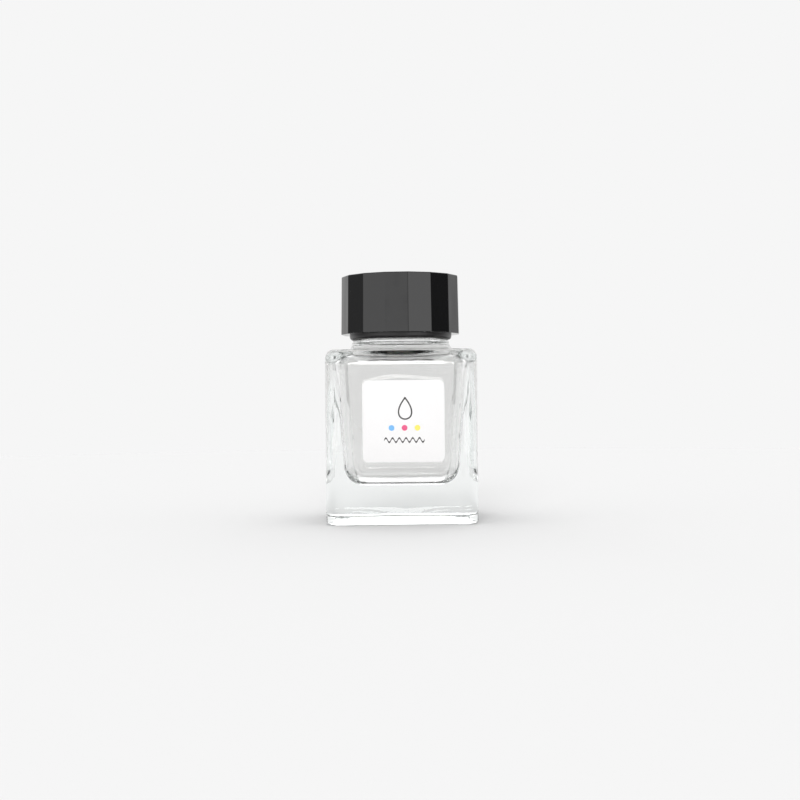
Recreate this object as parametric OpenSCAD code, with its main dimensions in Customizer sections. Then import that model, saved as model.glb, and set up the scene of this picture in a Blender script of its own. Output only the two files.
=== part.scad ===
// Square glass ink bottle with a sixteen-sided screw cap, standing on its base.
// Millimetres, +Z up, origin at the centre of the base, label on the -Y face.

/* [Glass body] */
// Width and depth of the square body
body_w = 40; // [38:1:44]
// Height of the flat shoulder above the base
shoulder_z = 46; // [44:1:50]
// Radius of the four upright corners
corner_r = 4; // [3:0.5:5]
// Radius of the edge between the walls and the shoulder
shoulder_r = 2.2; // [1.5:0.1:3]
// Radius of the edge between the walls and the base
heel_r = 0.9; // [0.8:0.1:2]
// Depth of the shallow hollow under the base
push_up = 0.3; // [0.3:0.1:1]

/* [Cavity] */
// Half the cavity's width just under the shoulder
cavity_top_half = 17.2; // [16:0.1:17.5]
// Half the cavity's width just above its floor
cavity_low_half = 15; // [13:0.1:16]
// Thickness of the heavy glass base
base_t = 10; // [6:0.5:12]
// Thickness of the glass over the cavity
roof_t = 1.8; // [1.6:0.1:3.5]
// Radius of the cavity's upright corners
cavity_corner_r = 6; // [5:0.5:8]
// Radius around the cavity's floor
cavity_floor_r = 5; // [3:0.5:6]

/* [Neck] */
// Height of the mouth above the base
mouth_z = 62.6; // [60:0.1:64]
// Radius of the plain collar below the thread
collar_r = 13.3; // [13:0.1:13.5]
// Radius of the neck between the thread's turns
neck_r = 10.9; // [10.7:0.1:11]
// Radius over the crest of the thread
thread_r = 11.9; // [11.7:0.1:12]
// Radius of the bore
bore_r = 8.7; // [8:0.1:9]
// Rise of the thread in one turn
pitch = 3.175; // [3.1:0.005:3.3]
// Turns of thread on the neck
neck_turns = 2.5; // [2:0.25:2.5]

/* [Cap] */
// Number of flat sides round the cap
cap_sides = 16; // [12:2:20]
// Radius over the cap's corners at its lower edge
cap_r = 16.4; // [16.3:0.1:17]
// Radius over the cap's corners at its top
cap_top_r = 16.15; // [16:0.05:16.8]
// Height of the shell's lower edge
shell_z = 50.6; // [50.4:0.1:51]
// Height of the cap's flat top
cap_top_z = 66.5; // [66:0.1:68]
// Turn of one corner of the cap away from the front
cap_phase = 7.5; // [0:0.5:22]
// Outer radius of the threaded insert
insert_r = 14; // [13.9:0.1:14.2]
// Height of the insert's lower edge
insert_z = 49.2; // [49.1:0.1:49.6]
// Inner radius of the insert between its turns of thread
insert_bore_r = 12.3; // [12.2:0.1:12.5]
// Turns of thread in the insert
insert_turns = 1.75; // [1:0.25:1.75]
// Thickness of the foam sealing disc
liner_t = 1; // [0.8:0.1:1.2]

/* [Contents and label] */
// Height of the ink's surface
ink_z = 46.5; // [45:0.5:56]
// Side of the square label
label_w = 21.4; // [18:0.2:24]
// Radius of the label's corners
label_r = 1.5; // [1:0.1:3]
// Height of the label's centre
label_z = 27.1; // [24:0.1:30]
// Distance of the label's centre from the middle of the face
label_x = 0.5; // [-1:0.1:1]

/* [Hidden] */

round_fn = 96;            // smoothness of the true round surfaces
hull_fn = 32;             // smoothness of the rounded blocks
arc_steps = 6;            // straight steps in a quarter arc
thread_steps = 30;        // straight steps in one turn of thread

cut = 1;                  // how far a cutting shape runs past the face that it cuts

wall_half = body_w / 2;
bearing_rim = 5;          // width of the rim that the bottle stands on
push_up_half = wall_half - bearing_rim;
push_up_r = 5;
roof_z = shoulder_z - roof_t;
collar_fillet_r = 2.6;
collar_top_z = 48.9;
collar_edge = 0.4;        // bevel round the collar's top
stem_rise = 0.3;          // height from the collar's top to the foot of the plain stem
lip_r = 0.8;
bore_flare_r = 2.5;       // rounding where the bore opens into the cavity
cavity_top_r = 2;

thread_root_bite = 0.3;   // how far a thread's root is sunk into its wall
neck_thread_z = 52;       // middle of the neck thread's lowest turn
neck_base_half = 1;       // half the neck thread's width at its root
neck_crest_half = 0.4;
insert_crest_r = 11.2;
insert_base_half = 0.85;
insert_crest_half = 0.3;
thread_drop = 1.22;       // the insert's thread hangs this far below the neck's
insert_lead_turns = 0.25; // the insert's thread starts this much below the neck's

insert_roof_t = 1.2;
insert_edge_r = 0.9;      // rounding of the insert's lower edge
insert_fit = 0.05;        // gap between the insert and the shell
liner_fit = 0.2;          // gap round the sealing disc
ink_fit = 0.08;           // gap between the ink's solid and the glass
label_t = 0.12;

liner_top_z = mouth_z + liner_t;
insert_top_z = liner_top_z + insert_roof_t;

function arc(cx, cy, r, from, to) =
    [for (i = [0 : arc_steps]) let (a = from + (to - from) * i / arc_steps) [cx + r * cos(a), cy + r * sin(a)]];

// One round post with rounded ends, as a corner of a rounded block.
module post(r, low_z, high_z, low_r, high_r) {
    rotate_extrude($fn = hull_fn)
        polygon(concat(
            [[0, high_z], [0, low_z]],
            arc(r - low_r, low_z + low_r, low_r, -90, 0),
            arc(r - high_r, high_z - high_r, high_r, 0, 90)));
}

module four_corners(half) {
    for (x = [-half, half], y = [-half, half])
        translate([x, y, 0]) children();
}

module rounded_square(half, r) {
    square([2 * half, 2 * (half - r)], center = true);
    square([2 * (half - r), 2 * half], center = true);
    for (x = [-1, 1], y = [-1, 1])
        translate([x * (half - r), y * (half - r)]) circle(r, $fn = round_fn);
}

// A ridge of trapezoid section wound on a right-hand helix round +Z. The ridge runs from root_r to crest_r.
module thread(root_r, crest_r, base_half, crest_half, start_z, start_angle, turns) {
    steps = round(turns * thread_steps);
    section = [[root_r, -base_half], [crest_r, -crest_half], [crest_r, crest_half], [root_r, base_half]];
    // The ridge sinks into its wall over its first and last eighth of a turn.
    fade_steps = thread_steps / 8;
    function fade(i) = min(1, (i + 0.4) / fade_steps, (steps - i + 0.4) / fade_steps);
    function place(p, i) =
        let (a = start_angle + 360 * i / thread_steps,
             r = root_r + (p[0] - root_r) * fade(i))
        [r * cos(a), r * sin(a), start_z + pitch * i / thread_steps + p[1]];
    sides = len(section);
    points = [for (i = [0 : steps], p = section) place(p, i)];
    skin = [for (i = [0 : steps - 1], k = [0 : sides - 1])
        let (a = i * sides + k, b = i * sides + (k + 1) % sides)
        each [[a, b + sides, b], [a, a + sides, b + sides]]];
    start_face = [for (k = [0 : sides - 1]) k];
    end_face = [for (k = [sides - 1 : -1 : 0]) steps * sides + k];
    faces = concat(skin, [start_face, end_face]);
    reversed_faces = [for (f = faces) [for (k = [len(f) - 1 : -1 : 0]) f[k]]];
    polyhedron(points, crest_r > root_r ? reversed_faces : faces);
}

// The space inside the glass below the neck, drawn smaller by inset.
module cavity(inset) {
    low = base_t + inset;
    high = roof_z - inset;
    top_half = cavity_top_half - cavity_corner_r;
    low_half = cavity_low_half - cavity_corner_r;
    r = cavity_corner_r - inset;
    hull() {
        four_corners(top_half) post(r, high - 2 * cavity_top_r, high, cavity_top_r / 2, cavity_top_r);
        four_corners(low_half) post(r, low, low + 2 * cavity_floor_r, cavity_floor_r, cavity_floor_r / 2);
    }
}

// The bore of the neck with its flare into the cavity.
module neck_bore() {
    rotate_extrude($fn = round_fn)
        polygon(concat(
            [[0, mouth_z + cut], [0, roof_z - cut], [bore_r + bore_flare_r, roof_z - cut]],
            arc(bore_r + bore_flare_r, roof_z + bore_flare_r, bore_flare_r, 270, 180),
            [[bore_r, mouth_z + cut]]));
}

// The outside of the neck: fillet, collar, threaded stem and rounded lip.
module neck_outside() {
    rotate_extrude($fn = round_fn)
        polygon(concat(
            [[0, shoulder_z - cut], [collar_r + collar_fillet_r, shoulder_z - cut]],
            arc(collar_r + collar_fillet_r, shoulder_z + collar_fillet_r, collar_fillet_r, 270, 180),
            [[collar_r, collar_top_z - collar_edge], [collar_r - collar_edge, collar_top_z],
             [neck_r, collar_top_z + stem_rise]],
            arc(neck_r - lip_r, mouth_z - lip_r, lip_r, 0, 90),
            [[0, mouth_z]]));
}

module glass_bottle() {
    color("azure", 0.4)
    difference() {
        union() {
            hull() four_corners(wall_half - corner_r)
                post(corner_r, 0, shoulder_z, heel_r, shoulder_r);
            neck_outside();
            thread(neck_r - thread_root_bite, thread_r, neck_base_half, neck_crest_half,
                   neck_thread_z, 0, neck_turns);
        }
        cavity(0);
        neck_bore();
        translate([0, 0, -cut]) linear_extrude(cut + push_up) rounded_square(push_up_half, push_up_r);
    }
}

// The clear ink: it fills the cavity and stands a little way up the neck.
module ink_fill() {
    color("lightcyan", 0.5) {
        union() {
            cavity(ink_fit);
            translate([0, 0, roof_z - cut])
                cylinder(h = ink_z - roof_z + cut, r = bore_r - ink_fit, $fn = round_fn);
        }
    }
}

module front_label() {
    color("white")
    translate([label_x, -wall_half, label_z])
        rotate([90, 0, 0])
            linear_extrude(label_t) rounded_square(label_w / 2, label_r);
}

module cap_outline(r) {
    polygon([for (i = [0 : cap_sides - 1])
        let (a = -90 + cap_phase + 360 * i / cap_sides) [r * cos(a), r * sin(a)]]);
}

// The outer shell: flat sides with a little draft and a plain round bore for the insert.
module cap_shell() {
    color("black")
    difference() {
        translate([0, 0, shell_z])
            linear_extrude(cap_top_z - shell_z, scale = cap_top_r / cap_r) cap_outline(cap_r);
        translate([0, 0, shell_z - cut])
            cylinder(h = insert_top_z + insert_fit - shell_z + cut, r = insert_r + insert_fit, $fn = round_fn);
    }
}

// The threaded insert, a round inner cap that stands proud below the shell.
module cap_insert() {
    color("dimgray")
    union() {
        rotate_extrude($fn = round_fn)
            polygon(concat(
                [[0, insert_top_z], [0, liner_top_z], [insert_bore_r, liner_top_z], [insert_bore_r, insert_z]],
                arc(insert_r - insert_edge_r, insert_z + insert_edge_r, insert_edge_r, -90, 0),
                [[insert_r, insert_top_z]]));
        thread(insert_bore_r + thread_root_bite, insert_crest_r, insert_base_half, insert_crest_half,
               neck_thread_z - thread_drop - insert_lead_turns * pitch, -360 * insert_lead_turns, insert_turns);
    }
}

module cap_liner() {
    color("gainsboro")
    translate([0, 0, mouth_z])
        cylinder(h = liner_t, r = insert_bore_r - liner_fit, $fn = round_fn);
}

glass_bottle();
ink_fill();
front_label();
cap_shell();
cap_insert();
cap_liner();
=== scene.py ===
# %% [markdown]
# # A square glass ink bottle
# The bottle stands on its base with its label towards -Y. It is a lesson in clear things: pressed glass,
# a clear liquid that touches it, and a glossy black cap that shows only by what it mirrors. All shapes
# are drawn in millimetres, because the numbers are then easy to read, and each finished mesh is scaled to
# metres once.

# %% Load the frame and measure it
import math

import bmesh
import bpy
from mathutils import Matrix, Vector, noise


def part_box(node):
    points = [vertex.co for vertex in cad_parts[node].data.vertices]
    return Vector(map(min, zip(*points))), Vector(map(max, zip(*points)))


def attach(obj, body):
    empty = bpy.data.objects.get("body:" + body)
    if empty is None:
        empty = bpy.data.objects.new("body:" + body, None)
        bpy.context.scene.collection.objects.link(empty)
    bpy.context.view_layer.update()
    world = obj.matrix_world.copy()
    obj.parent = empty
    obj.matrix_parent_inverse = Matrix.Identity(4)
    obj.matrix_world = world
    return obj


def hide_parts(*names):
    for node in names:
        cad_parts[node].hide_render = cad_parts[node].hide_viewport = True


MM = 0.001
UP = Vector((0, 0, 1))
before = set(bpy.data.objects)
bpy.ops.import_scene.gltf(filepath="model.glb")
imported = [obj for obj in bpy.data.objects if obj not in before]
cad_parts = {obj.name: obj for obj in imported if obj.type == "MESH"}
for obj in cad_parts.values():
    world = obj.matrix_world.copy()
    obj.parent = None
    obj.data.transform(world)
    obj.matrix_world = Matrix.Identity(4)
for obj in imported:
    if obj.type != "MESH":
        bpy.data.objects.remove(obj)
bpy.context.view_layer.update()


def box_mm(node):
    """A CAD node's lowest and highest corner, in millimetres."""
    low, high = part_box(node)
    return low / MM, high / MM


glass_low, glass_high = box_mm("glass_bottle")
shell_low, shell_high = box_mm("cap_shell")
insert_low, insert_high = box_mm("cap_insert")
liner_low, liner_high = box_mm("cap_liner")
label_low, label_high = box_mm("front_label")
ink_high = box_mm("ink_fill")[1]
print("glass", [round(v, 2) for v in glass_high - glass_low], "mm")

# %% [markdown]
# ## Camera
# The lens looks straight at the label from a third of a metre, level with the bottle's middle, and is
# rolled by half a degree, because a hand-held camera never sits quite square.

# %% Camera
CAMERA_DISTANCE = 348.3
CAMERA_HEIGHT = 32.6
CAMERA_SIDE = -0.36
CAMERA_ROLL = math.radians(0.6)
LENS = 56.8

camera_data = bpy.data.cameras.new("camera")
camera_data.lens = LENS
camera_data.sensor_width = 36
camera_data.clip_end = 100
camera = bpy.data.objects.new("camera", camera_data)
bpy.context.scene.collection.objects.link(camera)
camera.matrix_world = (Matrix.Translation(Vector((CAMERA_SIDE, -CAMERA_DISTANCE, CAMERA_HEIGHT)) * MM)
                       @ Matrix.Rotation(CAMERA_ROLL, 4, "Y") @ Matrix.Rotation(math.radians(90), 4, "X"))
bpy.context.scene.camera = camera

# %% [markdown]
# ## Colour and nodes
# Colours are picked as sRGB hex values, as a paint chart gives them, and turned to linear once. One small
# function adds a node, sets it and links it, so that each material below reads as a list of what it does.


# %% Colour and node helpers
def linear(hex_colour):
    """An sRGB hex colour such as "#f0eeef" as linear RGBA."""
    parts = [int(hex_colour[i:i + 2], 16) / 255 for i in (1, 3, 5)]
    return [p / 12.92 if p <= 0.04045 else ((p + 0.055) / 1.055) ** 2.4 for p in parts] + [1.0]


def add_node(tree, kind, settings=None, links=None):
    """Adds a node. settings set sockets or properties, and links join other nodes' output sockets to it."""
    node = tree.nodes.new("ShaderNode" + kind)
    for name, value in (settings or {}).items():
        if isinstance(name, int) or name in node.inputs:
            node.inputs[name].default_value = value
        else:
            setattr(node, name, value)
    for name, source in (links or {}).items():
        tree.links.new(source, node.inputs[name])
    return node


def calculate(tree, operation, *values):
    """A Math node's output. Each value is a number or another node's output socket."""
    node = add_node(tree, "Math", {"operation": operation})
    for place, value in enumerate(values):
        if isinstance(value, (int, float)):
            node.inputs[place].default_value = value
        else:
            tree.links.new(value, node.inputs[place])
    return node.outputs[0]


def new_material(name, settings):
    """A material with one Principled BSDF, its sockets set by name."""
    material = bpy.data.materials.new(name)
    material.use_nodes = True
    shader = material.node_tree.nodes["Principled BSDF"]
    for socket, value in settings.items():
        shader.inputs[socket].default_value = value
    return material, material.node_tree, shader


# %% [markdown]
# ## Studio
# A product table is a white sheet that runs on behind the object until it meets white light, so no edge
# shows. Here the floor is a wide pale disc and the world has the same brightness as the lit floor. Clear
# and glossy things are lit by what they mirror and bend, so the world shows each kind of ray its own
# picture: soft boxes and dark gaps between them for the cap's mirror facets, and for light that comes
# through the glass a white back, black screens at the sides and a dimmer ceiling. The disc of paper is
# small, so that low rays meet those screens beyond its edge.

# %% Paper floor
FLOOR_RADIUS = 0.5
FLOOR_GAP = 0.00002

floor_shape = bmesh.new()
bmesh.ops.create_circle(floor_shape, cap_ends=True, segments=96, radius=FLOOR_RADIUS)
bmesh.ops.translate(floor_shape, vec=(0, 0, -FLOOR_GAP), verts=floor_shape.verts)
floor_mesh = bpy.data.meshes.new("floor")
floor_shape.to_mesh(floor_mesh)
floor_shape.free()
floor = bpy.data.objects.new("floor", floor_mesh)
bpy.context.scene.collection.objects.link(floor)

# Uncoated white paper: nearly white, with no shine.
floor_paper, tree, shader = new_material("uncoated_paper", {
    "Base Color": [0.81, 0.81, 0.81, 1.0], "Roughness": 0.9, "Specular IOR Level": 0.0})
floor_mesh.materials.append(floor_paper)

# %% World
TABLE_LIGHT = linear("#f6f6f6")
DIFFUSE_LIGHT = 0.58
GLASS_BOUNCES = 40
GLOSS_SCALE = 2.2
# Both lists go round the bottle from -180 to 180 degrees, with 0 at -Y: degrees and brightness.
# What the cap's facets mirror.
SOFT_BOXES = [(-180, 0.9), (-160, 0.9), (-120, 0.9), (-112, 0.25), (-80, 0.45), (-72, 1.7),
              (-30, 1.9), (-7, 1.8), (-5.2, 0.5), (6, 0.3), (14, 2.2), (58, 2.2),
              (62, 0.12), (100, 0.12), (106, 0.7), (150, 0.9)]
# What comes bent through the glass: white behind, and black screens between narrow white gaps at the
# sides.
SCREENS = [(-180, 1.0), (-140, 1.0), (-128, 0.12), (-102, 0.12), (-97, 1.0), (-84, 1.0),
           (-80, 0.08), (-48, 0.08), (-40, 0.8), (-22, 0.8), (-15, 0.2), (15, 0.2), (22, 0.8), (40, 0.8),
           (48, 0.08), (80, 0.08), (84, 1.0), (97, 1.0), (102, 0.12), (128, 0.12), (140, 1.0), (180, 1.0)]

world = bpy.data.worlds.new("studio")
bpy.context.scene.world = world
world.use_nodes = True
tree = world.node_tree
tree.nodes.clear()
direction = add_node(tree, "TexCoord").outputs["Generated"]
split = add_node(tree, "SeparateXYZ", links={"Vector": direction}).outputs
toward_camera = calculate(tree, "MULTIPLY", split["Y"], -1.0)
azimuth = calculate(tree, "ARCTAN2", split["X"], toward_camera)
turn = calculate(tree, "ADD", calculate(tree, "MULTIPLY", azimuth, 0.5 / math.pi), 0.5)



def round_about(table):
    """Brightness that changes round the bottle, from a list of degrees and brightness."""
    ramp = add_node(tree, "ValToRGB", links={"Fac": turn})
    elements = ramp.color_ramp.elements
    while len(elements) < len(table):
        elements.new(0.5)
    for element, (degrees, brightness) in zip(elements, table):
        element.position = (degrees + 180) / 360
        element.color = [brightness / GLOSS_SCALE] * 3 + [1.0]
    return calculate(tree, "MULTIPLY", ramp.outputs["Color"], GLOSS_SCALE)


def fade_upwards(light, start, end, last):
    """Light that fades to the share last between two heights of its direction, where 1 is straight up."""
    fade = add_node(tree, "MapRange", {"From Min": start, "From Max": end, "To Min": 1.0, "To Max": last},
                    {"Value": split["Z"]})
    return calculate(tree, "MULTIPLY", light, fade.outputs["Result"])


mirrored = fade_upwards(round_about(SOFT_BOXES), 0.75, 0.95, 0.12)
bent = fade_upwards(round_about(SCREENS), 0.15, 0.5, 0.55)

path = add_node(tree, "LightPath").outputs


def choose(flag, yes, no):
    """yes where the ray is of that kind, and no elsewhere."""
    mix = add_node(tree, "Mix", {"data_type": "RGBA"}, {0: flag})
    for socket, value in ((mix.inputs[6], no), (mix.inputs[7], yes)):
        if isinstance(value, bpy.types.NodeSocket):
            tree.links.new(value, socket)
        else:
            socket.default_value = value
    return mix.outputs[2]


bent_light = add_node(tree, "Mix", {"data_type": "RGBA"}, {0: bent})
bent_light.inputs[6].default_value = (0, 0, 0, 1)
bent_light.inputs[7].default_value = TABLE_LIGHT
light = choose(path["Is Glossy Ray"], mirrored, [DIFFUSE_LIGHT] * 3 + [1.0])
light = choose(path["Is Transmission Ray"], bent_light.outputs[2], light)
light = choose(path["Is Camera Ray"], TABLE_LIGHT, light)
background = add_node(tree, "Background", {"Strength": 1.0}, {"Color": light})
add_node(tree, "OutputWorld", links={"Surface": background.outputs["Background"]})

# A ray that zigzags inside thick glass meets its skin many times before it leaves, and stays black if it
# is cut off.
for kind in ("max_bounces", "glossy_bounces", "transmission_bounces"):
    setattr(bpy.context.scene.cycles, kind, GLASS_BOUNCES)

# The plain view keeps white paper white: what is 0.87 in the scene is 240 in the picture.
bpy.context.scene.view_settings.view_transform = "Standard"
bpy.context.scene.view_settings.look = "None"


# %% Three wide soft lights
def soft_sun(name, strength, spread_degrees, toward):
    """A wide sun whose light comes from the direction toward, which is a vector out of the bottle."""
    data = bpy.data.lights.new(name, "SUN")
    data.energy = strength
    data.angle = math.radians(spread_degrees)
    sun = bpy.data.objects.new(name, data)
    sun.rotation_euler = Vector(toward).to_track_quat("Z", "Y").to_euler()
    sun.visible_glossy = False
    bpy.context.scene.collection.objects.link(sun)
    return sun


soft_sun("front_box", 1.25, 30, (-0.08, -0.90, 0.42))
soft_sun("back_box", 0.85, 70, (-0.03, 0.77, 0.64))
soft_sun("top_box", 0.69, 60, (-0.03, -0.10, 0.99))


# %% [markdown]
# ## Shaping helpers
# Each piece starts from a primitive or a few points and is shaped by operators. A profile is a wire of
# straight lines whose corners are then rounded by a vertex bevel, just as a lathe tool would cut them,
# and a spin round Z makes it a solid. Low waves keep pressed glass from looking like cut crystal.

# %% Shaping helpers
SPIN_STEPS = 128


def round_edges(shape, edges, radius, segments):
    """Rounds edges with an arc of that radius."""
    bmesh.ops.bevel(shape, geom=list(edges), offset=radius, segments=segments, profile=0.5,
                    affect="EDGES", material=-1, clamp_overlap=False)


def profile(shape, corners):
    """Draws a wire through (radius, height, rounding) corners in the XZ plane and rounds it there."""
    points = [shape.verts.new((radius, 0, height)) for radius, height, _ in corners]
    for first, second in zip(points, points[1:]):
        shape.edges.new((first, second))
    for (radius, height, rounding), point in zip(corners, points):
        if rounding:
            bmesh.ops.bevel(shape, geom=[point], offset=rounding, segments=8, profile=0.5,
                            affect="VERTICES", material=-1)


def revolve(shape):
    """Spins all that is in shape once round Z and closes the poles."""
    bmesh.ops.spin(shape, geom=shape.verts[:] + shape.edges[:], cent=(0, 0, 0), axis=UP,
                   angle=math.tau, steps=SPIN_STEPS, use_merge=True)
    bmesh.ops.remove_doubles(shape, verts=shape.verts, dist=0.0005)


def fill_ring(shape, height):
    """Skins the flat ring between the two open rims at one height."""
    rims = [e for e in shape.edges
            if (e.is_boundary or e.is_wire) and all(abs(v.co.z - height) < 0.002 for v in e.verts)]
    made = bmesh.ops.triangle_fill(shape, edges=rims, use_beauty=True, normal=UP)["geom"]
    faces = [item for item in made if isinstance(item, bmesh.types.BMFace)]
    area = round(sum(face.calc_area() for face in faces))
    print("ring at", round(height, 2), "mm:", len(rims), "edges,", area, "mm2")


def merge(shape, other):
    """Moves another bmesh's geometry into shape."""
    mesh = bpy.data.meshes.new("part")
    other.to_mesh(mesh)
    other.free()
    shape.from_mesh(mesh)
    bpy.data.meshes.remove(mesh)


def slice_up(shape, step, low, high, axes="XYZ"):
    """Cuts shape by planes a step apart, so that a wave has points to move."""
    for name in axes:
        axis = "XYZ".index(name)
        normal = Vector([float(i == axis) for i in range(3)])
        count = max(1, round((high[axis] - low[axis]) / step))
        for i in range(1, count):
            place = normal * (low[axis] + (high[axis] - low[axis]) * i / count)
            bmesh.ops.bisect_plane(shape, geom=shape.verts[:] + shape.edges[:] + shape.faces[:],
                                   plane_co=place, plane_no=normal, dist=0.02)


def wave(shape, height, length, share=lambda place: 1.0, seed=0.0):
    """Moves each point along its normal by smooth noise: waves of that height and length."""
    shape.normal_update()
    shift = Vector((seed, 2 * seed, 3 * seed))
    moves = [(v, v.normal * height * share(v.co) * noise.noise(v.co / length + shift)) for v in shape.verts]
    for vertex, move in moves:
        vertex.co += move


def point_outwards(shape):
    """Turns every face of a closed shape outwards."""
    bmesh.ops.recalc_face_normals(shape, faces=shape.faces)
    if shape.calc_volume(signed=True) < 0:
        bmesh.ops.reverse_faces(shape, faces=shape.faces)


def finish_piece(shape, name, material, body, replaced=(), smooth_degrees=180):
    """Turns a shape in millimetres into a piece in metres that rides on a body of the frame."""
    point_outwards(shape)
    open_edges = sum(not edge.is_manifold for edge in shape.edges)
    bmesh.ops.scale(shape, vec=(MM, MM, MM), verts=shape.verts)
    mesh = bpy.data.meshes.new(name)
    shape.to_mesh(mesh)
    shape.free()
    mesh.shade_smooth()
    if smooth_degrees < 180:
        mesh.set_sharp_from_angle(angle=math.radians(smooth_degrees))
    piece = bpy.data.objects.new(name, mesh)
    bpy.context.scene.collection.objects.link(piece)
    mesh.materials.append(material)
    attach(piece, body)
    if replaced:
        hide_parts(*replaced)
    triangles = sum(len(face.vertices) - 2 for face in mesh.polygons)
    print(name, triangles, "triangles,", open_edges, "open edges")
    return piece


def even_normals(piece):
    """Lets the large flat faces set the shading, so that a rounded edge doesn't smear it."""
    modifier = piece.modifiers.new("flat_faces", "WEIGHTED_NORMAL")
    modifier.mode = "FACE_AREA"
    modifier.weight = 50
    modifier.keep_sharp = True


# %% [markdown]
# ## Pressed glass
# The bottle is flint glass, which means clear soda-lime glass, blown in a polished mould. The outside is
# a block with rounded corners, an almost flat shoulder and a heavy base. The inside is a smaller block
# that narrows downwards, so the walls are thicker below. The neck is turned: fillet, collar, threaded
# stem, lip and bore are one profile. Three flat rings of triangles close the gaps: from the neck to the
# square outside, from the bore to the square inside, and from the hollow to the heel. All is one closed
# skin, because light has to enter glass once and leave it once.

# %% Sizes of the glass
WALL_HALF = (glass_high.x - glass_low.x) / 2
MOUTH_Z = glass_high.z
SHOULDER_Z = 46.0
CORNER_R = 4.0
SHOULDER_R = 2.2
HEEL_R = 0.9

CAVITY_FLOOR_Z = 10.0
CAVITY_ROOF_Z = 44.2
CAVITY_TOP_HALF = 17.2
CAVITY_LOW_HALF = 15.0
CAVITY_CORNER_R = 6.0
CAVITY_FLOOR_R = 5.0
CAVITY_TOP_R = 2.0

COLLAR_R = 13.3
COLLAR_TOP_Z = 48.9
FILLET_R = 2.6
NECK_R = 10.9
BORE_R = 8.7
FLARE_R = 2.5

# Pressed glass has long low waves outside, where the mould shaped it, and stronger ones inside, where
# only air did.
MOULD_WAVE = 0.05
AIR_WAVE = 0.22
WAVE_LENGTH = 13.0


# %% Inside of the bottle
def cavity_wave_share(place):
    """Waves are full on the cavity's walls and fade out below the roof."""
    return min(1.0, max(0.0, (CAVITY_ROOF_Z - place.z) / 4))


def cavity_block(grow):
    """The square space inside, larger by grow, with its roof open for the neck."""
    low, high = CAVITY_FLOOR_Z - grow, CAVITY_ROOF_Z + grow
    top_half, low_half = CAVITY_TOP_HALF + grow, CAVITY_LOW_HALF + grow
    space = bmesh.new()
    bmesh.ops.create_cube(space, size=2)
    for vertex in space.verts:
        half = top_half if vertex.co.z > 0 else low_half
        vertex.co.x *= half
        vertex.co.y *= half
        vertex.co.z = high if vertex.co.z > 0 else low
    upright = [e for e in space.edges if abs(e.verts[0].co.z - e.verts[1].co.z) > 1]
    round_edges(space, upright, CAVITY_CORNER_R + grow, 10)
    floor_face = min(space.faces, key=lambda face: face.calc_center_median().z)
    round_edges(space, floor_face.edges, CAVITY_FLOOR_R, 9)
    roof_face = max(space.faces, key=lambda face: face.calc_center_median().z)
    round_edges(space, roof_face.edges, CAVITY_TOP_R, 6)
    roof_face = max(space.faces, key=lambda face: face.calc_center_median().z)
    bmesh.ops.delete(space, geom=[roof_face], context="FACES_ONLY")
    slice_up(space, 2.0, (-top_half, -top_half, low), (top_half, top_half, high))
    bmesh.ops.recalc_face_normals(space, faces=space.faces)
    if sum(face.normal.dot(face.calc_center_median() - Vector((0, 0, 27))) for face in space.faces) < 0:
        bmesh.ops.reverse_faces(space, faces=space.faces)
    wave(space, AIR_WAVE, WAVE_LENGTH, cavity_wave_share, seed=5.0)
    return space


# %% Outside of the bottle
def mould_wave_share(place):
    """Waves fade out at the shoulder and at the base."""
    return min(1.0, max(0.0, (SHOULDER_Z - place.z) / 3), max(0.0, place.z / 3))


def outer_block():
    """The square body with rounded corners, open on top for the neck."""
    block = bmesh.new()
    bmesh.ops.create_cube(block, size=1)
    bmesh.ops.scale(block, vec=(2 * WALL_HALF, 2 * WALL_HALF, SHOULDER_Z), verts=block.verts)
    bmesh.ops.translate(block, vec=(0, 0, SHOULDER_Z / 2), verts=block.verts)
    upright = [e for e in block.edges if abs(e.verts[0].co.z - e.verts[1].co.z) > 1]
    round_edges(block, upright, CORNER_R, 12)
    top_face = max(block.faces, key=lambda face: face.calc_center_median().z)
    round_edges(block, top_face.edges, SHOULDER_R, 8)
    low_face = min(block.faces, key=lambda face: face.calc_center_median().z)
    round_edges(block, low_face.edges, HEEL_R, 6)
    low_face = min(block.faces, key=lambda face: face.calc_center_median().z)
    top_face = max(block.faces, key=lambda face: face.calc_center_median().z)
    bmesh.ops.delete(block, geom=[low_face, top_face], context="FACES_ONLY")
    slice_up(block, 2.5, (-WALL_HALF, -WALL_HALF, 0), (WALL_HALF, WALL_HALF, SHOULDER_Z))
    bmesh.ops.recalc_face_normals(block, faces=block.faces)
    wave(block, MOULD_WAVE, WAVE_LENGTH, mould_wave_share)
    return block


# %% Hollow under the base
PUSH_UP = 0.3
PUSH_UP_HALF = 15.0
PUSH_UP_R = 5.0


def base_hollow():
    """The push-up: a shallow square recess that leaves a rim to stand on."""
    hollow = bmesh.new()
    bmesh.ops.create_cube(hollow, size=1)
    bmesh.ops.scale(hollow, vec=(2 * PUSH_UP_HALF, 2 * PUSH_UP_HALF, PUSH_UP), verts=hollow.verts)
    bmesh.ops.translate(hollow, vec=(0, 0, PUSH_UP / 2), verts=hollow.verts)
    upright = [e for e in hollow.edges if abs(e.verts[0].co.z - e.verts[1].co.z) > PUSH_UP / 2]
    round_edges(hollow, upright, PUSH_UP_R, 12)
    roof = max(hollow.faces, key=lambda face: face.calc_center_median().z)
    round_edges(hollow, roof.edges, PUSH_UP * 0.7, 4)
    floor_face = min(hollow.faces, key=lambda face: face.calc_center_median().z)
    bmesh.ops.delete(hollow, geom=[floor_face], context="FACES_ONLY")
    return hollow


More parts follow.
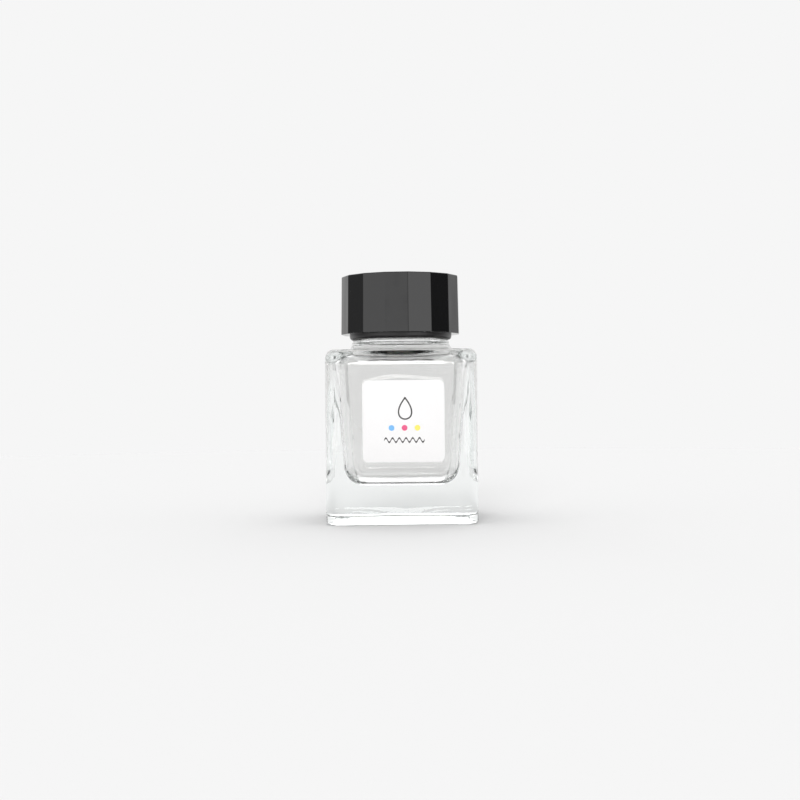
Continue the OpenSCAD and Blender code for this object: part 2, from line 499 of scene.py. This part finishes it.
# %% Neck and one closed skin
def glass_skin():
    """Body, neck and cavity as one closed skin, without the thread."""
    skin = bmesh.new()
    profile(skin, [(COLLAR_R + FILLET_R, SHOULDER_Z, 0), (COLLAR_R, SHOULDER_Z, FILLET_R),
                   (COLLAR_R, COLLAR_TOP_Z, 0.4), (NECK_R, COLLAR_TOP_Z + 0.3, 0.25),
                   (NECK_R, MOUTH_Z, 0.8), (BORE_R, MOUTH_Z, 0.5),
                   (BORE_R, CAVITY_ROOF_Z, FLARE_R), (BORE_R + FLARE_R, CAVITY_ROOF_Z, 0)])
    revolve(skin)
    merge(skin, outer_block())
    merge(skin, cavity_block(0.0))
    merge(skin, base_hollow())
    for height in (SHOULDER_Z, CAVITY_ROOF_Z, 0.0):
        fill_ring(skin, height)
    return skin


skin = glass_skin()
print("skin", len(skin.faces), "faces,", sum(e.is_boundary for e in skin.edges), "open edges")

# %% [markdown]
# The thread on the neck is a ridge wound on a helix. A spin with a rise for each step winds it, its two
# ends sink into the stem, and a boolean makes ridge and stem one glass.

# %% Thread helper
PITCH = 3.175
THREAD_STEPS = 48


def thread(section, start_z, start_degrees, turns, root_r):
    """Winds a ridge of that section, given as (radius, height) corners, upwards round Z."""
    ridge = bmesh.new()
    corners = [ridge.verts.new((radius, 0, start_z + height)) for radius, height in section]
    face = ridge.faces.new(corners)
    steps = round(turns * THREAD_STEPS)
    bmesh.ops.spin(ridge, geom=[face] + face.edges[:] + corners, cent=(0, 0, 0), axis=UP,
                   dvec=(0, 0, PITCH / THREAD_STEPS), angle=math.tau * turns, steps=steps)
    ridge.verts.ensure_lookup_table()
    sides = len(section)
    fade = THREAD_STEPS / 8
    for vertex in ridge.verts:
        ring = vertex.index // sides
        share = min(1.0, (ring + 0.4) / fade, (steps - ring + 0.4) / fade)
        reach = vertex.co.xy.length
        vertex.co.xy *= (root_r + (reach - root_r) * share) / reach
    bmesh.ops.rotate(ridge, verts=ridge.verts, cent=(0, 0, 0),
                     matrix=Matrix.Rotation(math.radians(start_degrees), 3, "Z"))
    bmesh.ops.recalc_face_normals(ridge, faces=ridge.faces)
    return ridge


def combine(base, extra, operation="UNION"):
    """The boolean of two closed shapes, as a new bmesh."""
    halves = []
    for shape in (base, extra):
        point_outwards(shape)
        mesh = bpy.data.meshes.new("half")
        shape.to_mesh(mesh)
        shape.free()
        half = bpy.data.objects.new("half", mesh)
        bpy.context.scene.collection.objects.link(half)
        halves.append(half)
    modifier = halves[0].modifiers.new("join", "BOOLEAN")
    modifier.operation = operation
    modifier.solver = "EXACT"
    modifier.object = halves[1]
    joined = halves[0].evaluated_get(bpy.context.evaluated_depsgraph_get()).to_mesh()
    result = bmesh.new()
    result.from_mesh(joined)
    for half in halves:
        mesh = half.data
        bpy.data.objects.remove(half)
        bpy.data.meshes.remove(mesh)
    return result


# %% Flint glass
# Soda-lime glass refracts at 1.52 and has no body colour, but a trace of iron leaves a breath of green in
# the thick base. Its skin is fire-polished, so it is perfectly smooth.
flint_glass, tree, shader = new_material("pressed_flint_glass", {
    "Base Color": [1, 1, 1, 1], "Roughness": 0.0, "IOR": 1.52, "Transmission Weight": 1.0})
absorption = add_node(tree, "VolumeAbsorption", {"Color": [0.70, 0.88, 0.82, 1.0], "Density": 2.5})
tree.links.new(absorption.outputs["Volume"], tree.nodes["Material Output"].inputs["Volume"])

# %% Dots under the base
# Two short rows of moulded dots stand in the hollow, as a plain stipple.
FRONT_ROW = [(-9.0 + 1.4 * i, -6.0) for i in range(8)]
BACK_ROW = [(x, 8.0) for x in (-4.6, -3.6, -2.6, 0.8, 1.8, 2.8)]

stipple = bmesh.new()
for x, y in FRONT_ROW + BACK_ROW:
    bmesh.ops.create_cone(stipple, cap_ends=True, segments=14, radius1=0.26, radius2=0.46, depth=0.46,
                          matrix=Matrix.Translation((x, y, PUSH_UP)))

# %% Thread on the neck and the finished bottle
THREAD_Z = 52.0
THREAD_R = 11.9
neck_thread = thread([(10.6, -1.0), (THREAD_R - 0.3, -0.5), (THREAD_R, -0.2), (THREAD_R, 0.2),
                      (THREAD_R - 0.3, 0.5), (10.6, 1.0)], THREAD_Z, 0, 2.5, 10.6)
whole = combine(combine(skin, neck_thread), stipple)
bottle = finish_piece(whole, "flint_glass_bottle", flint_glass, "bottle", ["glass_bottle"],
                      smooth_degrees=40)
even_normals(bottle)

# %% [markdown]
# ## Clear ink
# The bottle holds a clear liquid that fills the cavity and stands in the neck under the cap. Where a
# liquid wets glass there is no air between them, so its skin is drawn a hair inside the glass: a ray then
# passes from glass to liquid as it should, and never through a film of air. At the bore the surface
# climbs the wall in a small meniscus.

# %% Ink
# The grey absorption is set to make the filled cavity a little darker than the paper behind it.
WETTING = 0.05
INK_Z = ink_high.z
MENISCUS = 1.2

clear_ink, tree, shader = new_material("clear_water_based_ink_painted_shade", {
    "Base Color": [1, 1, 1, 1], "Roughness": 0.0, "IOR": 1.345, "Transmission Weight": 1.0})
# This grey absorption is painted shade. The ink is clear; the grey darkens the cavity in place of the shade
# that the cap and the bottle would cast on paper behind it.
absorption = add_node(tree, "VolumeAbsorption", {"Color": [0.60, 0.595, 0.575, 1.0], "Density": 15.0})
tree.links.new(absorption.outputs["Volume"], tree.nodes["Material Output"].inputs["Volume"])

ink_shape = bmesh.new()
profile(ink_shape, [(BORE_R + FLARE_R, CAVITY_ROOF_Z + WETTING, 0),
                    (BORE_R + WETTING, CAVITY_ROOF_Z + WETTING, FLARE_R - WETTING),
                    (BORE_R + WETTING, INK_Z + MENISCUS / 2, 0), (BORE_R, INK_Z + MENISCUS / 2, 0),
                    (BORE_R, INK_Z - MENISCUS / 2, MENISCUS - 0.01), (0, INK_Z - MENISCUS / 2, 0)])
revolve(ink_shape)
merge(ink_shape, cavity_block(WETTING))
fill_ring(ink_shape, CAVITY_ROOF_Z + WETTING)
ink = finish_piece(ink_shape, "ink_body", clear_ink, "bottle", ["ink_fill"], smooth_degrees=50)
even_normals(ink)

# %% [markdown]
# ## Label
# The label is a die-cut square of white coated paper with round corners, glued on, so its back is drawn a
# hair inside the glass. The print is plain: the outline of a drop, three dots of colour and a pen's wavy
# line. Each printed mark is a very thin piece of its own, so its edge stays sharp at any size.

# %% Paper label
GLUE = 0.04
LABEL_R = 1.5
label_middle = (label_low + label_high) / 2
label_front = label_low.y

label_paper, tree, shader = new_material("coated_label_paper", {
    "Roughness": 0.45, "IOR": 1.5, "Specular IOR Level": 0.4})
place = add_node(tree, "TexCoord").outputs["Object"]
fibres = add_node(tree, "TexNoise", {"Scale": 1 / (0.5 * MM), "Detail": 3.0, "Roughness": 0.6},
                  {"Vector": place})
tint = add_node(tree, "ValToRGB", links={"Fac": fibres.outputs["Fac"]})
tint.color_ramp.elements[0].color = linear("#f0efef")
tint.color_ramp.elements[1].color = linear("#f5f4f4")
relief = add_node(tree, "Bump", {"Strength": 0.15, "Distance": 0.02 * MM},
                  {"Height": fibres.outputs["Fac"]})
tree.links.new(tint.outputs["Color"], shader.inputs["Base Color"])
tree.links.new(relief.outputs["Normal"], shader.inputs["Normal"])


def label_slab(width, height, depth, radius, middle):
    """A flat slab that faces -Y, with round corners and a softened front edge."""
    slab = bmesh.new()
    bmesh.ops.create_cube(slab, size=1)
    bmesh.ops.scale(slab, vec=(width, depth, height), verts=slab.verts)
    across = [e for e in slab.edges if abs(e.verts[0].co.y - e.verts[1].co.y) > depth / 2]
    round_edges(slab, across, radius, 10)
    front = min(slab.faces, key=lambda face: face.calc_center_median().y)
    round_edges(slab, front.edges, depth / 4, 2)
    bmesh.ops.translate(slab, vec=middle, verts=slab.verts)
    return slab


label_depth = -WALL_HALF + GLUE - label_front
slab = label_slab(label_high.x - label_low.x, label_high.z - label_low.z, label_depth, LABEL_R,
                  (label_middle.x, label_front + label_depth / 2, label_middle.z))
finish_piece(slab, "paper_label", label_paper, "bottle", ["front_label"],
             smooth_degrees=35)

# %% Printing ink and print helper
INK_FILM = 0.03
FILM_PROUD = 0.015


def printing_ink(name, colour):
    """A dry offset ink film: even colour, a little shinier than the paper."""
    material, tree, shader = new_material(name, {"Base Color": linear(colour), "Roughness": 0.35})
    place = add_node(tree, "TexCoord").outputs["Object"]
    grain = add_node(tree, "TexNoise", {"Scale": 1 / (0.25 * MM), "Detail": 2.0}, {"Vector": place})
    rough = add_node(tree, "MapRange", {"To Min": 0.3, "To Max": 0.42}, {"Value": grain.outputs["Fac"]})
    tree.links.new(rough.outputs["Result"], shader.inputs["Roughness"])
    return material


def print_mark(flat, name, material, across, up):
    """Gives a flat shape drawn in XY the film's thickness and stands it on the label's front."""
    film = bmesh.ops.extrude_face_region(flat, geom=flat.faces[:])
    raised = [item for item in film["geom"] if isinstance(item, bmesh.types.BMVert)]
    bmesh.ops.translate(flat, vec=(0, 0, INK_FILM), verts=raised)
    bmesh.ops.rotate(flat, verts=flat.verts, cent=(0, 0, 0),
                     matrix=Matrix.Rotation(math.radians(90), 3, "X"))
    front = label_front - FILM_PROUD + INK_FILM
    bmesh.ops.translate(flat, verts=flat.verts,
                        vec=(label_middle.x + across, front, label_middle.z + up))
    return finish_piece(flat, name, material, "bottle", smooth_degrees=35)


line_ink = printing_ink("dark_grey_offset_ink", "#3a3738")
pen_ink = printing_ink("mid_grey_offset_ink", "#464344")

# %% Drop outline
DROP_HALF_HEIGHT = 3.0
DROP_WIDTH = 2.45
STROKE = 0.36

drop = bmesh.new()
bmesh.ops.create_circle(drop, cap_ends=True, segments=64, radius=1)
for vertex in drop.verts:
    taper = math.sqrt(max(0.0, (1 - vertex.co.y) / 2))
    vertex.co = Vector((vertex.co.x * taper * DROP_WIDTH, vertex.co.y * DROP_HALF_HEIGHT, 0))
bmesh.ops.inset_region(drop, faces=drop.faces[:], thickness=STROKE, use_even_offset=True,
                       use_boundary=True)
middle_face = max(drop.faces, key=lambda face: len(face.verts))
bmesh.ops.delete(drop, geom=[middle_face], context="FACES")
print_mark(drop, "print_drop", line_ink, 0.43, 3.35)

# %% Colour dots and pen line
DOT_R = 0.75
DOTS = (("blue", "#7cbbf0", -3.14), ("red", "#e75f8a", 0.25), ("yellow", "#fbe972", 3.61))
for name, colour, across in DOTS:
    dot = bmesh.new()
    bmesh.ops.create_circle(dot, cap_ends=True, segments=32, radius=DOT_R)
    print_mark(dot, "print_dot_" + name, printing_ink(name + "_offset_ink", colour), across, -1.75)

PEN_LENGTH = 10.5
PEN_STROKE = 0.48
PEN_WAVES = 6
PEN_RISE = 0.55
line = bmesh.new()
bmesh.ops.create_grid(line, x_segments=168, y_segments=1, size=0.5)
for vertex in line.verts:
    swing = math.sin(vertex.co.x * math.tau * PEN_WAVES)
    vertex.co = Vector((vertex.co.x * PEN_LENGTH, vertex.co.y * PEN_STROKE + swing * PEN_RISE, 0))
print_mark(line, "print_pen_line", pen_ink, 0.17, -4.93)

# %% [markdown]
# ## Cap
# The cap has two mouldings. The outer shell is black ABS with sixteen flat sides, narrower by a quarter
# of a millimetre at the top so that it leaves its mould, and its facets are polished: they are mirrors.
# It is a cone of sixteen sides with its edges rounded and a bore let into its underside. Inside sits the
# round, satin insert with the thread, which stands proud below the shell, and in its roof lies a disc of
# white foam that seals the mouth.

# %% Black gloss plastic
# ABS refracts at 1.5. Moulded against polished steel it is nearly a mirror, with faint rubs from
# handling.
black_gloss, tree, shader = new_material("polished_black_abs", {
    "Base Color": linear("#0b0b0c"), "Roughness": 0.06, "IOR": 1.5})
place = add_node(tree, "TexCoord").outputs["Object"]
rubs = add_node(tree, "TexNoise", {"Scale": 1 / (4 * MM), "Detail": 4.0, "Roughness": 0.65},
                {"Vector": place})
gloss = add_node(tree, "MapRange", {"From Min": 0.4, "From Max": 0.75, "To Min": 0.04, "To Max": 0.14},
                 {"Value": rubs.outputs["Fac"]})
tree.links.new(gloss.outputs["Result"], shader.inputs["Roughness"])
# A slow ripple, drawn out upwards, bends what the facets mirror.
stretched = add_node(tree, "Mapping", {"Scale": (1.0, 1.0, 0.3)}, {"Vector": place}).outputs["Vector"]
sink = add_node(tree, "TexNoise", {"Scale": 1 / (7 * MM), "Detail": 1.0}, {"Vector": stretched})
relief = add_node(tree, "Bump", {"Strength": 1.0, "Distance": 0.25 * MM}, {"Height": sink.outputs["Fac"]})
tree.links.new(relief.outputs["Normal"], shader.inputs["Normal"])

# %% Cap shell
CAP_SIDES = 16
CAP_R = 16.4
CAP_TOP_R = 16.15
CAP_PHASE = -90 + 7.5
SHELL_BORE_R = 14.05
SHELL_BORE_Z = insert_high.z + 0.05

shell = bmesh.new()
bmesh.ops.create_cone(shell, cap_ends=True, segments=CAP_SIDES, radius1=CAP_R, radius2=CAP_TOP_R,
                      depth=shell_high.z - shell_low.z)
corner = next(v.co for v in shell.verts if v.co.z < 0)
turn_back = math.radians(CAP_PHASE) - math.atan2(corner.y, corner.x)
bmesh.ops.rotate(shell, verts=shell.verts, cent=(0, 0, 0), matrix=Matrix.Rotation(turn_back, 3, "Z"))
bmesh.ops.translate(shell, vec=(0, 0, (shell_high.z + shell_low.z) / 2), verts=shell.verts)
upright = [e for e in shell.edges if abs(e.verts[0].co.z - e.verts[1].co.z) > 1]
round_edges(shell, upright, 0.16, 3)
top_face = max(shell.faces, key=lambda face: face.calc_center_median().z)
round_edges(shell, top_face.edges, 0.35, 4)
low_face = min(shell.faces, key=lambda face: face.calc_center_median().z)
round_edges(shell, low_face.edges, 0.15, 3)
low_face = min(shell.faces, key=lambda face: face.calc_center_median().z)
bmesh.ops.delete(shell, geom=[low_face], context="FACES_ONLY")
made = bmesh.ops.create_circle(shell, segments=96, radius=SHELL_BORE_R)
bmesh.ops.translate(shell, vec=(0, 0, shell_low.z), verts=made["verts"])
bore_rim = list({e for v in made["verts"] for e in v.link_edges})
fill_ring(shell, shell_low.z)
raised = bmesh.ops.extrude_edge_only(shell, edges=bore_rim)["geom"]
bore_top = [item for item in raised if isinstance(item, bmesh.types.BMVert)]
bmesh.ops.translate(shell, vec=(0, 0, SHELL_BORE_Z - shell_low.z), verts=bore_top)
bmesh.ops.contextual_create(shell, geom=bore_top)
cap_shell = finish_piece(shell, "gloss_cap_shell", black_gloss, "cap", ["cap_shell"],
                         smooth_degrees=50)
even_normals(cap_shell)

# %% Black satin plastic
# The insert is the same black plastic moulded against fine spark-eroded steel, which leaves it satin.
black_satin, tree, shader = new_material("satin_black_polypropylene", {
    "Base Color": linear("#282728"), "Roughness": 0.35, "IOR": 1.49})
place = add_node(tree, "TexCoord").outputs["Object"]
grain = add_node(tree, "TexNoise", {"Scale": 1 / (0.3 * MM), "Detail": 2.0}, {"Vector": place})
relief = add_node(tree, "Bump", {"Strength": 0.12, "Distance": 0.02 * MM}, {"Height": grain.outputs["Fac"]})
tree.links.new(relief.outputs["Normal"], shader.inputs["Normal"])

# %% Threaded insert
INSERT_R = insert_high.x
INSERT_BORE_R = 12.3
CREST_R = 11.2
insert_shape = bmesh.new()
profile(insert_shape, [(0, insert_high.z, 0), (INSERT_R, insert_high.z, 0.3), (INSERT_R, insert_low.z, 0.9),
                       (INSERT_BORE_R, insert_low.z, 0.2), (INSERT_BORE_R, liner_high.z, 0.2),
                       (0, liner_high.z, 0)])
revolve(insert_shape)
ROOT_R = INSERT_BORE_R + 0.3
cap_thread = thread([(ROOT_R, -0.85), (CREST_R + 0.2, -0.4), (CREST_R, -0.2), (CREST_R, 0.2),
                     (CREST_R + 0.2, 0.4), (ROOT_R, 0.85)],
                    THREAD_Z - 1.22 - PITCH / 4, -90, 1.75, ROOT_R)
insert_whole = combine(insert_shape, cap_thread)
insert = finish_piece(insert_whole, "threaded_cap_insert", black_satin, "cap", ["cap_insert"],
                      smooth_degrees=40)
even_normals(insert)

# %% Sealing disc
# Expanded polyethylene foam: soft, white and finely pitted, with a ring pressed into it by the mouth.
white_foam, tree, shader = new_material("expanded_polyethylene_foam", {
    "Base Color": linear("#eceae6"), "Roughness": 0.75, "Subsurface Weight": 0.2, "Subsurface Scale": 0.001})
place = add_node(tree, "TexCoord").outputs["Object"]
cells = add_node(tree, "TexVoronoi", {"Scale": 1 / (0.35 * MM)}, {"Vector": place})
relief = add_node(tree, "Bump", {"Strength": 0.4, "Distance": 0.05 * MM},
                  {"Height": cells.outputs["Distance"]})
tree.links.new(relief.outputs["Normal"], shader.inputs["Normal"])

LINER_R = liner_high.x
# The mouth presses a ring into the foam, which stands this far above the glass.
PRESS = 0.12
LINER_GAP = 0.01
liner_shape = bmesh.new()
ring_z = liner_low.z + LINER_GAP
foam_z = ring_z - PRESS
profile(liner_shape, [(0, foam_z, 0), (BORE_R - 0.4, foam_z, 0.15), (BORE_R, ring_z, 0.15),
                      (NECK_R - 0.4, ring_z, 0.15), (NECK_R + 0.2, foam_z, 0.15),
                      (LINER_R, foam_z, 0.1), (LINER_R, liner_high.z, 0.1), (0, liner_high.z, 0)])
revolve(liner_shape)
finish_piece(liner_shape, "foam_liner", white_foam, "seal", ["cap_liner"], smooth_degrees=50)
